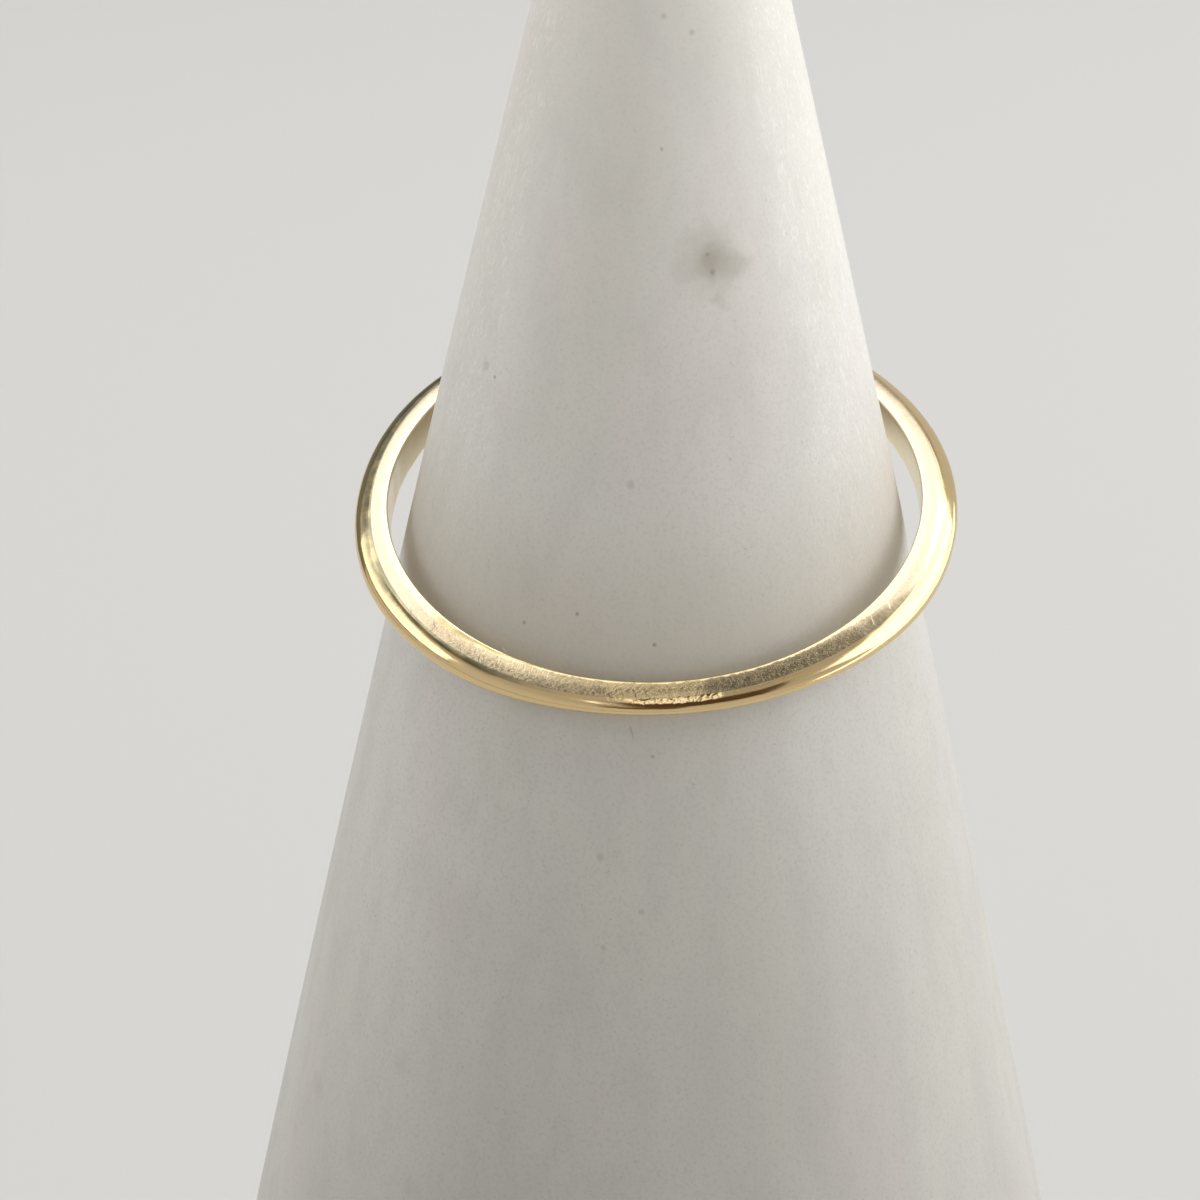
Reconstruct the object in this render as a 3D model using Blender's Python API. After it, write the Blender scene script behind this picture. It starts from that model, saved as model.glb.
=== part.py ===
"""A plain gold ring that leans on a turned marble ring cone.

Metres, +Z up. The cone stands on Z = 0 with its axis on Z. The ring slopes down towards -Y.
"""

import math

import bmesh
import bpy
from mathutils import Matrix, Vector

# The cone
CONE_HEIGHT = 0.095
CONE_BASE_DIAMETER = 0.0454
CONE_TIP_DIAMETER = 0.0036
CONE_BELLY = 0.00065
FOOT_EDGE_ROUND = 0.0008

# The ring
BORE_DIAMETER = 0.0173
RING_THICKNESS = 0.00115
RING_HEIGHT = 0.0013
SIDE_FACE_WIDTH = 0.00072
SIDE_FACE_FALL = 0.00014
BORE_EDGE_ROUND = 0.00008
DOME_FULLNESS = 2.2

# How the ring sits
RING_TILT = math.radians(19.5)
SEAT_CLEARANCE = 0.0001

# The ring's hand-worked section, a row for each twelfth of a turn from its low front by way of -X:
# height, thickness and side face, each as a share of the size above.
SECTION_SHARES = (
    (0.65, 0.92, 1.00),
    (0.85, 1.01, 1.12),
    (1.06, 1.03, 0.98),
    (1.10, 0.98, 0.87),
    (1.06, 1.07, 0.95),
    (1.00, 1.05, 0.98),
    (1.00, 1.05, 1.00),
    (1.00, 1.05, 1.00),
    (1.00, 1.08, 1.00),
    (0.97, 1.03, 1.01),
    (0.85, 1.07, 1.10),
    (0.68, 0.96, 0.98),
)

# How finely the round forms are divided
CONE_SEGMENTS = 72
CONE_SIDE_STEPS = 14
CONE_TIP_STEPS = 5
RING_SEGMENTS = 108
DOME_STEPS = 10
EDGE_ROUND_STEPS = 3
HALVINGS = 50

GOLD = (0.80, 0.62, 0.33)
GOLD_ROUGHNESS = 0.28
MARBLE = (0.72, 0.71, 0.69)
MARBLE_ROUGHNESS = 0.6
SHARP_EDGE = math.radians(40)


def clear_scene():
    for thing in list(bpy.data.objects):
        bpy.data.objects.remove(thing, do_unlink=True)


def make_material(name, colour, roughness, metallic):
    material = bpy.data.materials.new(name)
    material.use_nodes = True
    shader = material.node_tree.nodes["Principled BSDF"]
    shader.inputs["Base Color"].default_value = (*colour, 1)
    shader.inputs["Roughness"].default_value = roughness
    shader.inputs["Metallic"].default_value = metallic
    return material


def arc(centre, radius, start, end, steps):
    """Points of a round edge in a half plane, from one angle to another, both ends included."""
    turns = [start + (end - start) * step / steps for step in range(steps + 1)]
    return [(centre[0] + radius * math.cos(turn), centre[1] + radius * math.sin(turn)) for turn in turns]


def add_object(name, mesh_builder, material):
    """Turns a bmesh into a smooth-shaded object whose faces point outwards."""
    bmesh.ops.recalc_face_normals(mesh_builder, faces=mesh_builder.faces)
    mesh = bpy.data.meshes.new(name)
    mesh_builder.to_mesh(mesh)
    mesh_builder.free()
    mesh.materials.append(material)
    mesh.shade_smooth()
    mesh.set_sharp_from_angle(angle=SHARP_EDGE)
    thing = bpy.data.objects.new(name, mesh)
    bpy.context.scene.collection.objects.link(thing)
    return thing


def tip_tangent():
    """The cone side's half-angle, and the radius and height where it meets the round tip."""
    tip_radius = CONE_TIP_DIAMETER / 2
    tip_centre = CONE_HEIGHT - tip_radius
    base_radius = CONE_BASE_DIAMETER / 2
    reach = math.hypot(base_radius, tip_centre)
    half_angle = math.atan2(base_radius, tip_centre) - math.asin(tip_radius / reach)
    radius = tip_radius * math.cos(half_angle)
    height = tip_centre + tip_radius * math.sin(half_angle)
    return half_angle, radius, height


def cone_radius(height):
    """The radius of the cone's slightly bowed side at a height."""
    _, top_radius, top_height = tip_tangent()
    share = height / top_height
    straight = CONE_BASE_DIAMETER / 2 * (1 - share) + top_radius * share
    return straight + 4 * CONE_BELLY * share * (1 - share)


def cone_profile():
    """Radius and height of the turned outline, from the foot's rim to just short of the tip's pole."""
    half_angle, _, top_height = tip_tangent()
    round_centre = (cone_radius(FOOT_EDGE_ROUND) - FOOT_EDGE_ROUND, FOOT_EDGE_ROUND)
    points = arc(round_centre, FOOT_EDGE_ROUND, -math.pi / 2, 0, EDGE_ROUND_STEPS)
    side_height = top_height - FOOT_EDGE_ROUND
    for step in range(1, CONE_SIDE_STEPS):
        height = FOOT_EDGE_ROUND + side_height * step / CONE_SIDE_STEPS
        points.append((cone_radius(height), height))
    tip_radius = CONE_TIP_DIAMETER / 2
    points += arc((0, CONE_HEIGHT - tip_radius), tip_radius, half_angle, math.pi / 2, CONE_TIP_STEPS)[:-1]
    return points


def make_cone(material):
    builder = bmesh.new()
    rows = []
    for radius, height in cone_profile():
        row = []
        for step in range(CONE_SEGMENTS):
            turn = 2 * math.pi * step / CONE_SEGMENTS
            row.append(builder.verts.new((radius * math.cos(turn), radius * math.sin(turn), height)))
        rows.append(row)
    for lower, upper in zip(rows, rows[1:]):
        bridge_rows(builder, lower, upper)
    builder.faces.new(rows[0])
    pole = builder.verts.new((0, 0, CONE_HEIGHT))
    for step in range(CONE_SEGMENTS):
        builder.faces.new((rows[-1][step - 1], rows[-1][step], pole))
    return add_object("marble_cone", builder, material)


def bridge_rows(builder, first, second):
    """Joins two closed rows of points with a band of four-sided faces."""
    for step in range(len(first)):
        builder.faces.new((first[step - 1], first[step], second[step], second[step - 1]))


def section_sizes(turn):
    """Height, thickness and side-face width at an angle from the low front, on a smooth closed curve."""
    place = turn / (2 * math.pi) * len(SECTION_SHARES)
    row = math.floor(place)
    along = place - row
    before, here, after, beyond = (
        SECTION_SHARES[(row + offset) % len(SECTION_SHARES)] for offset in (-1, 0, 1, 2)
    )
    shares = []
    for a, b, c, d in zip(before, here, after, beyond):
        slope_in = (c - a) / 2
        slope_out = (d - b) / 2
        cubic = 2 * b - 2 * c + slope_in + slope_out
        square = 3 * c - 3 * b - 2 * slope_in - slope_out
        shares.append(((cubic * along + square) * along + slope_in) * along + b)
    return RING_HEIGHT * shares[0], RING_THICKNESS * shares[1], SIDE_FACE_WIDTH * shares[2]


def ring_section(turn):
    """The ring's closed outline: distance out from the bore, and height from the upper rim's plane."""
    height, thickness, face_width = section_sizes(turn)
    upper_centre = (BORE_EDGE_ROUND, -BORE_EDGE_ROUND)
    lower_centre = (BORE_EDGE_ROUND, BORE_EDGE_ROUND - height)
    points = arc(lower_centre, BORE_EDGE_ROUND, 1.5 * math.pi, math.pi, EDGE_ROUND_STEPS)
    points += arc(upper_centre, BORE_EDGE_ROUND, math.pi, math.pi / 2, EDGE_ROUND_STEPS)
    dome_half = height / 2 - SIDE_FACE_FALL
    dome_rise = thickness - face_width
    for step in range(DOME_STEPS + 1):
        side = 1 - 2 * step / DOME_STEPS
        out = thickness - dome_rise * abs(side) ** DOME_FULLNESS
        points.append((out, dome_half * side - height / 2))
    return points


def side_gap(distance, height):
    """How far a point at a distance from the cone's axis stands clear of the cone's side."""
    half_angle = tip_tangent()[0]
    return (distance - cone_radius(height)) * math.cos(half_angle)


def rim_points(offset, height, side):
    """The bore's upper and lower rim at its high back (side 1) or low front (side -1), as (Y, Z)."""
    depth = section_sizes(0 if side < 0 else math.pi)[0]
    bore_radius = BORE_DIAMETER / 2
    upper = (
        offset + side * bore_radius * math.cos(RING_TILT),
        height + side * bore_radius * math.sin(RING_TILT),
    )
    lower = (upper[0] + depth * math.sin(RING_TILT), upper[1] - depth * math.cos(RING_TILT))
    return upper, lower


def rim_gap(offset, height, side):
    return min(side_gap(side * y, z) for y, z in rim_points(offset, height, side))


def halve(low, high, is_low):
    """The value between low and high where is_low turns from true to false."""
    for _ in range(HALVINGS):
        middle = (low + high) / 2
        if is_low(middle):
            low = middle
        else:
            high = middle
    return (low + high) / 2


def seat_offset(height):
    """The Y of the ring's centre that leaves the same gap to the cone at its front and its back."""
    reach = BORE_DIAMETER / 2
    return halve(-reach, reach, lambda offset: rim_gap(offset, height, 1) < rim_gap(offset, height, -1))


def seat_place():
    """The centre of the bore's upper rim where the tilted ring comes to rest on the cone."""
    height = halve(0, CONE_HEIGHT, lambda level: rim_gap(seat_offset(level), level, 1) < SEAT_CLEARANCE)
    return Vector((0, seat_offset(height), height))


def make_ring(material):
    builder = bmesh.new()
    bore_radius = BORE_DIAMETER / 2
    rows = []
    for step in range(RING_SEGMENTS):
        turn = 2 * math.pi * step / RING_SEGMENTS
        outward = Vector((-math.sin(turn), -math.cos(turn), 0))
        row = [
            builder.verts.new(outward * (bore_radius + out) + Vector((0, 0, up)))
            for out, up in ring_section(turn)
        ]
        rows.append(row)
    for step in range(RING_SEGMENTS):
        bridge_rows(builder, rows[step - 1], rows[step])
    ring = add_object("ring_band", builder, material)
    ring.matrix_world = Matrix.Translation(seat_place()) @ Matrix.Rotation(RING_TILT, 4, "X")
    return ring


def main():
    clear_scene()
    make_cone(make_material("marble", MARBLE, MARBLE_ROUGHNESS, 0))
    make_ring(make_material("gold", GOLD, GOLD_ROUGHNESS, 1))


main()
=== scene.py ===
"""The looks of a gold ring on a marble ring cone: finish, wear, floor, light and camera. Metres, +Z up."""

import math

import bpy
import numpy as np
from mathutils import Euler, Matrix, Vector


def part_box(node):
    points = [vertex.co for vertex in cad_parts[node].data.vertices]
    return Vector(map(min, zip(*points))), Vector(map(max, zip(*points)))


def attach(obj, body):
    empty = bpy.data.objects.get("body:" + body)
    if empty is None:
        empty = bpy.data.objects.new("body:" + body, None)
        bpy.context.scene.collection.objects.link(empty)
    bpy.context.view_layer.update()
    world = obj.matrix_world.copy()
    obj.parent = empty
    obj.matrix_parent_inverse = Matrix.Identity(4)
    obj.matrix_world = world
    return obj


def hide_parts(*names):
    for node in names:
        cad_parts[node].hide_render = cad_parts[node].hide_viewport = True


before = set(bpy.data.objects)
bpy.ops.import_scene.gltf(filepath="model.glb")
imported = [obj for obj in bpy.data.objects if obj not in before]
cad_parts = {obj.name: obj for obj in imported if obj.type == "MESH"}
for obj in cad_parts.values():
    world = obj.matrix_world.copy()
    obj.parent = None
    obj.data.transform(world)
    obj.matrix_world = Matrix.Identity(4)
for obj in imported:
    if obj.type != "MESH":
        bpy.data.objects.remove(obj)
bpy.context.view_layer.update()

MM = 0.001

# The ring's sizes, as its solid has them
BORE_DIAMETER = 17.3 * MM
RING_THICKNESS = 1.15 * MM
RING_HEIGHT = 1.3 * MM
SIDE_FACE_WIDTH = 0.72 * MM
SIDE_FACE_FALL = 0.14 * MM
DOME_FULLNESS = 2.2
RING_TILT = math.radians(19.5)

# Height, thickness and side face as shares of those sizes, a row for each twelfth of a turn from the
# low front by way of -X
SECTION_SHARES = np.array(
    [
        (0.65, 0.92, 1.00),
        (0.85, 1.01, 1.12),
        (1.06, 1.03, 0.98),
        (1.10, 0.98, 0.87),
        (1.06, 1.07, 0.95),
        (1.00, 1.05, 0.98),
        (1.00, 1.05, 1.00),
        (1.00, 1.05, 1.00),
        (1.00, 1.08, 1.00),
        (0.97, 1.03, 1.01),
        (0.85, 1.07, 1.10),
        (0.68, 0.96, 0.98),
    ]
)

# The ring's fine form
SIDE_FACE_CROWN = 0.02 * MM
BORE_EDGE_ROUND = 0.08 * MM
RIDGE_ROUND = 0.04 * MM
RING_STEPS = 1000
FRONT_FINENESS = 2.5
FRONT_SPREAD = math.radians(30)
BORE_STEPS = 8
EDGE_STEPS = 7
SIDE_FACE_STEPS = 16
RIDGE_STEPS = 6
DOME_STEPS = 26
ZONE_COUNT = 8
TURN_SAMPLES = 4001

# The ring's hand-worked swell: its height, and how many waves of each kind go round
SWELL_HEIGHT = 0.012 * MM
SWELL_WAVES = (7, 11, 16, 23, 31, 38, 47, 58)
WORK_SEED = 11

# Groups of nicks: how many, then ranges of ring turn in degrees, millimetres out from the ridge, lean in
# degrees, half length, and depth, with the width between the last two
NICK_GROUPS = (
    (70, (-18, -1), (-0.05, 0.07), (30, 65), (0.02, 0.08), 0.022, (0.001, 0.006)),
    (46, (-17, -3), (-0.05, 0.06), (-65, -35), (0.02, 0.07), 0.022, (0.001, 0.006)),
    (40, (-38, 30), (-0.05, 0.03), (-70, 70), (0.02, 0.05), 0.030, (0.001, 0.003)),
    (30, (-60, 60), (-0.50, 0.00), (-85, 85), (0.04, 0.20), 0.030, (0.0005, 0.002)),
    (30, (-180, 180), (-0.60, 0.90), (-60, 60), (0.02, 0.12), 0.080, (0.0005, 0.003)),
)

# A place on the gold has a turn and a zone. The turn counts from the low front by way of -X, so it is above
# 0 on the photo's left. The zones are numbered round the section from the bore, and zone 4 is the dome.
DOME_MIDDLE = 4.5
# The painted golden light on the satin is centred this share of a whole turn to the right of the front
GOLDEN_FRONT_SHIFT = 0.015
# How deep the satin's fine scratches and the polish's brushing look
SATIN_RELIEF = 0.005 * MM
POLISHED_RELIEF = 0.0008 * MM

# Single scratches on the gold: turn in degrees and zone of both ends, and strength. Zones 2 to 3 are the
# upper side face, from its inner edge to the ridge. Its width, and the marks' other sizes, in millimetres.
SIDE_FACE_REACH = 0.64
GOLD_MARK_HALF_WIDTH = 0.042
GOLD_MARK_DRIFT = 0.08
GOLD_MARK_DRIFT_SCALE = 14.0
DARK_GOLD_MARKS = (
    (-1.0, 1.90, -1.6, 2.10, 0.60),
    (-1.3, 2.48, -2.1, 2.94, 0.65),
    (3.4, 2.80, 2.4, 3.08, 0.65),
    (-3.5, 2.52, -3.9, 2.80, 0.35),
    (44.0, 2.48, 42.9, 2.64, 0.40),
    (42.9, 2.64, 42.9, 3.02, 0.40),
    (50.5, 2.84, 49.4, 2.90, 0.40),
)
# The pale scratches below carry a painted glint: their colour is paler than the gold
PALE_GOLD_MARKS = (
    (-53.9, 2.40, -52.8, 2.80, 0.60),
    (-59.2, 2.46, -58.2, 2.74, 0.60),
)

# Colours of the polished gold, of its rubbed and scratched side face, of the marks on it and of a dark line
# along its ridge, with painted highlights, glints and shade among them
POLISHED_WARM = (0.86, 0.65, 0.33, 1)
POLISHED_PALE = (0.83, 0.64, 0.36, 1)
# Painted highlights: the polished inner strip and inner edge are painted paler than the gold to stand in
# for their bright reflection
INNER_STRIP_HIGHLIGHT = (0.93, 0.77, 0.42, 1)
INNER_EDGE_HIGHLIGHT = (0.97, 0.87, 0.66, 1)
RUBBED_DARK = (0.56, 0.46, 0.34, 1)
RUBBED_PALE = (0.62, 0.50, 0.35, 1)
# The satin's colours on its right, at its front and on its left differ by painted shade on the right and
# painted light at the front and on the left
SATIN_RIGHT = (0.44, 0.34, 0.22, 1)
SATIN_FRONT = (0.62, 0.48, 0.23, 1)
SATIN_LEFT = (0.66, 0.55, 0.38, 1)
# A painted glint colour for the satin's grain and ticks
SATIN_LIT = (0.76, 0.61, 0.36, 1)
SATIN_DARK_LINE = (0.26, 0.20, 0.12, 1)
# Pale scratch lines on the satin, painted with a glint
SATIN_PALE_LINE = (1.0, 0.85, 0.55, 1)
# Painted shade colour, for the right of the side face and the front of the inner edge
PAINTED_SHADE_GOLD = (0.20, 0.165, 0.10, 1)
# A dark colour for a thin line along the ridge
RIDGE_DARK = (0.20, 0.19, 0.12, 1)
DARK_GOLD_MARK = (0.10, 0.08, 0.05, 1)
# Pale single scratches, painted with a glint
PALE_GOLD_MARK = (1.0, 0.88, 0.62, 1)

# The gold's patterns, by places in millimetres round the ring and across its section
GOLD_GRAIN_SCALE = 9.0
GOLD_CLOUD_SCALE = 1.4
RAGGED_SCALE = 5.0
TICK_STRETCH = (16.0, 4.5, 1.0)
BRUSH_STRETCH = (1.6, 45.0, 1.0)
LINE_STRETCH = (3.6, 38.0, 1.0)
LINE_LAYER_GAP = 7.3
LINE_SOFTNESS = 0.1
PALE_LINE_ANGLES = (0.5, 1.3, 2.3)
PALE_LINE_THRESHOLD = 0.58
DARK_LINE_ANGLES = (0.9, 1.9, 2.8)
DARK_LINE_THRESHOLD = 0.60

# Where the gold's looks change. Each row is a fade by turn, by fold or by a pattern: from and to, then the
# values there, which are 0 and 1 where none are given. The fold counts zones from the dome's middle: it is
# 0.5 to 1.5 on a ridge, 1.5 to 2.5 on a side face and more than 3.5 in the bore.
SATIN_FOLDS = (1.4, 1.52)
SATIN_EDGE_LEFT = (0.03, 0.12, 2.42, 2.14)
SATIN_EDGE_RIGHT = (-0.17, -0.12, 2.05, 2.38)
SATIN_EDGE_RAGS = (0.3, 0.7, -0.05, 0.05)
SATIN_EDGE_FADE = (-0.05, 0.05, 1.0, 0.0)
SCRATCHED_TURNS = (0.09, 0.17, 1.0, 0.25)
GOLDEN_FRONT_TURNS = (0.015, 0.035, 0.85, 0.0)
PALE_LEFT_TURNS = (0.025, 0.09)
# Painted glints where the satin's grain and ticks run high
LIT_GRAIN = (0.38, 0.62, 0.0, 0.4)
LIT_TICKS = (0.42, 0.62, 0.0, 0.3)
# Painted shade on the side face, right of the front
SHADE_START_TURNS = (-0.05, -0.036, 1.0, 0.0)
SHADE_END_TURNS = (-0.165, -0.135)
SHADE_CLOUD_SHIFT = (0.3, 0.7, -0.008, 0.008)
SHADE_SLANT = (1.5, 2.4, 0.03, -0.03)
SHADE_TICKS = (0.35, 0.65, 0.74, 0.5)
# Painted shade on the front of the inner edge
INNER_SHADE_START_TURNS = (-0.125, -0.10)
INNER_SHADE_END_TURNS = (0.032, 0.05, 1.0, 0.0)
INNER_SHADE_FOLDS = (2.05, 2.3, 0.0, 0.33)
# Where the ridge's thin dark line lies
RIDGE_DARK_REACH_TURNS = (0.11, 0.17, 0.46, 0.34)
RIDGE_DARK_LEFT_TURNS = (0.02, 0.09, 0.0, 0.92)
RIDGE_DARK_RIGHT_TURNS = (-0.15, -0.11, 0.35, 0.0)
RIDGE_DARK_START_FADE = (0.0, 0.14)
RIDGE_DARK_END_FOLDS = (1.54, 1.62, 1.0, 0.0)
RIDGE_DARK_CLOUDS = (0.3, 0.6, 0.6, 1.0)
POLISH_CLOUDS = (0.35, 0.65)
# Where the painted highlight on the inner strip and inner edge lies
INNER_STRIP_FOLDS = (1.7, 2.3, 0.0, 0.8)
INNER_EDGE_FOLDS = (2.45, 2.65, 0.0, 0.8)
BORE_FOLDS = (3.3, 3.6)

# The gold's roughness, on the satin by its grain, and how strong its lines and its relief are
SATIN_ROUGHNESS = (0.35, 0.65, 0.17, 0.25)
POLISHED_ROUGHNESS = 0.06
BRUSHED_ROUGHNESS = 0.10
BORE_ROUGHNESS = 0.1
DARK_LINE_STRENGTH = 0.55
PALE_LINE_STRENGTH = 0.5
GRAIN_HEIGHT = 0.4
TICK_HEIGHT = 0.2
LINE_DEPTH = 0.3
SATIN_BUMP = 0.7

# The cone's sizes, as its solid has them, and its fine form
CONE_HEIGHT = 95 * MM
CONE_BASE_DIAMETER = 45.4 * MM
CONE_TIP_DIAMETER = 3.6 * MM
CONE_BELLY = 0.65 * MM
FOOT_EDGE_ROUND = 0.8 * MM
CONE_SEGMENTS = 360
CONE_SIDE_STEPS = 200
CONE_ROUND_STEPS = 12
SHARP_EDGE = math.radians(40)

# Marks on the marble: azimuth from -Y towards +X in degrees, height and radius in millimetres, strength.
# Stains and pits have their full strength out to this share of their radius.
STAIN_CORE = 0.1
PIT_CORE = 0.3
STAINS = (
    (21.5, 78.10, 1.50, 0.42),
    (21.8, 78.00, 0.70, 0.55),
    (30.0, 77.80, 0.75, 0.30),
    (24.0, 76.90, 0.45, 0.28),
    (-59.4, 48.68, 0.60, 0.22),
    (-38.3, 51.65, 0.55, 0.20),
    (-32.7, 47.86, 0.60, 0.20),
)
PITS = (
    (21.94, 77.74, 0.13, 0.50),
    (20.6, 78.25, 0.10, 0.45),
    (18.5, 84.65, 0.13, 0.25),
    (5.99, 81.35, 0.09, 0.35),
    (6.45, 85.10, 0.13, 0.25),
    (-11.94, 67.48, 0.09, 0.70),
    (-24.18, 66.92, 0.09, 0.60),
    (5.05, 66.71, 0.09, 0.70),
    (-1.2, 71.51, 0.20, 0.25),
    (-4.34, 60.07, 0.17, 0.30),
    (3.46, 58.42, 0.14, 0.35),
    (-2.93, 57.21, 0.14, 0.30),
    (5.09, 63.27, 0.09, 0.45),
    (-49.0, 74.10, 0.22, 0.22),
    (-44.5, 73.90, 0.08, 0.60),
)
# How far the marks on the marble stray from plain circles and lines
STONE_DRIFT_SCALE = 1700.0
STAIN_DRIFT = 0.7 * MM
PIT_DRIFT = 0.10 * MM
SCRATCH_DRIFT = 0.15 * MM

# Scratches on the marble: azimuth and height of both ends, half width in millimetres, strength
PALE_SCRATCHES = (
    (-57.9, 72.16, -47.0, 71.60, 0.045, 0.45),
    (-47.0, 71.60, -41.4, 71.78, 0.035, 0.40),
    (-28.6, 65.95, -27.9, 65.85, 0.060, 0.60),
    (58.0, 83.00, 66.0, 80.60, 0.035, 0.30),
    (62.0, 80.20, 70.0, 78.00, 0.040, 0.30),
    (66.0, 76.80, 74.0, 75.20, 0.035, 0.30),
    (-62.0, 84.50, -50.0, 82.10, 0.035, 0.30),
)
DARK_SCRATCHES = (
    (0.46, 64.18, 1.32, 63.78, 0.035, 0.55),
    (0.59, 65.71, 1.03, 65.56, 0.035, 0.60),
)

# Colours of the marble and of its marks
STONE_GREY = (0.60, 0.585, 0.545, 1)
STONE_WHITE = (0.68, 0.67, 0.64, 1)
STONE_GREENISH = (0.66, 0.65, 0.58, 1)
STONE_PINKISH = (0.67, 0.62, 0.585, 1)
STONE_MOTTLE = (0.53, 0.52, 0.495, 1)
STONE_GRAIN = (0.46, 0.45, 0.43, 1)
STONE_SPECK = (0.30, 0.29, 0.27, 1)
# Painted warm light from the ring's inside, on the stone beside and above it
PAINTED_RING_GLOW = (0.53, 0.475, 0.385, 1)
STAIN = (0.40, 0.36, 0.29, 1)
PIT = (0.27, 0.25, 0.22, 1)
PALE_SCRATCH = (0.90, 0.90, 0.89, 1)
DARK_SCRATCH = (0.22, 0.20, 0.18, 1)

# The marble's patterns, by places in metres, and its relief
STONE_STRETCH = (1.0, 1.0, 0.35)
STONE_CLOUD_SCALE = 90.0
STONE_HUE_SCALE = 260.0
STONE_MOTTLE_SCALE = 800.0
STONE_GRAIN_SCALE = 9000.0
STONE_SPECK_SCALE = 5200.0
HAIR_STRETCH = (1500.0, 9000.0, 2600.0)
HAIR_DISTORTION = 1.2
STONE_RELIEF = 0.02 * MM

# Where the marble's looks change, in rows of the same kind, by a pattern, by height or by how far round to
# the left or right side a place lies
STONE_CLOUDS = (0.3, 0.7)
GREENISH_HUES = (0.35, 0.5, 0.35, 0.0)
PINKISH_HUES = (0.52, 0.68, 0.0, 0.35)
MOTTLE = (0.42, 0.7, 0.0, 0.22)
GRAINS = (0.45, 0.75, 0.0, 0.30)
SPECKS = (0.68, 0.76, 0.0, 0.4)
COARSE_RISE = (66 * MM, 84 * MM, 1.0, 0.45)
# Painted light, growing towards the thin top
PAINTED_LIGHT_RISE = (38 * MM, 95 * MM, 0.75, 1.37)
HAIRS = (0.56, 0.66)
HAIR_FLANKS = (0.15, 0.25, 0.0, 0.12)
HAIR_RISE = (62 * MM, 72 * MM)
# Painted light on the cone's lower flanks
PAINTED_FLANK_LIGHT = (0.07, 0.24, 0.0, 0.13)
PAINTED_FLANK_LIGHT_RISE = (48 * MM, 66 * MM, 1.0, 0.0)
STONE_ROUGHNESS = (0.3, 0.7, 0.5, 0.62)
STONE_BUMP = 0.25
# Where the cone's sides would meet
CONE_APEX = 98 * MM
# The ring's glow starts and ends between these heights from the upper rim's plane
GLOW_START = (-2.2 * MM, -1.0 * MM)
GLOW_END = (-0.2 * MM, 4.5 * MM, 0.5, 0.0)

# The camera, from the photo
CAMERA_AZIMUTH = math.radians(5.29)
CAMERA_ELEVATION = math.radians(22.47)
CAMERA_DISTANCE = 103.8 * MM
CAMERA_ROLL = math.radians(0.54)
FRAME_PIXELS = 1200
FOCAL_PIXELS = 3196.3
SENSOR_WIDTH = 36
RIM_CENTRE_PIXEL = (653.87, 490.56)
NEAR_CLIP = 1 * MM
FAR_CLIP = 100

# The studio
FLOOR_WIDTH = 4.0
FLOOR_COLOUR = (0.567, 0.560, 0.546)
FLOOR_ROUGHNESS = 0.7
SOFTBOX_TARGET = Vector((0, 0, 0.07))
SOFTBOX_DISTANCE = 0.8

# Azimuth from -Y by way of -X, elevation, azimuth span and elevation span in degrees, and radiance
SOFTBOXES = {
    "back_left_softbox": (132, 51, 62, 32, 1.8),
    "back_right_softbox": (-159, 55, 62, 34, 1.65),
    "right_softbox": (-104, 42, 68, 40, 2.0),
    "right_low_softbox": (-96, 10, 84, 20, 1.5),
    "left_softbox": (93, 27.5, 56, 23, 1.4),
    "front_high_softbox": (2, 80, 56, 7, 0.8),
    "ridge_softbox": (-3, 73.2, 40, 6.6, 0.9),
    "gleam_softbox": (19, 55, 6, 5, 1.6),
    "back_high_softbox": (156, 77, 84, 11, 1.5),
}
# Dark cards, with a colour in place of the radiance
FLAGS = {
    "front_flag": (-18, 57, 52, 23, (0.085, 0.05, 0.03)),
    "front_low_flag": (1, 39, 24, 13, (0.15, 0.10, 0.055)),
    "left_flag": (66, 48, 30, 10, (0.26, 0.25, 0.20)),
    "left_low_flag": (92, 13, 58, 5, (0.24, 0.23, 0.15)),
    "back_flag": (146, 0, 66, 36, (0.17, 0.185, 0.165)),
}

# Colours of the studio's walls and ceiling, by the sine of the elevation
SKY_STOPS = (
    (0.0, (0.60, 0.59, 0.57)),
    (0.4, (0.58, 0.57, 0.55)),
    (0.8, (0.46, 0.45, 0.43)),
    (0.93, (0.46, 0.45, 0.43)),
    (0.99, (0.31, 0.30, 0.29)),
)


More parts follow.
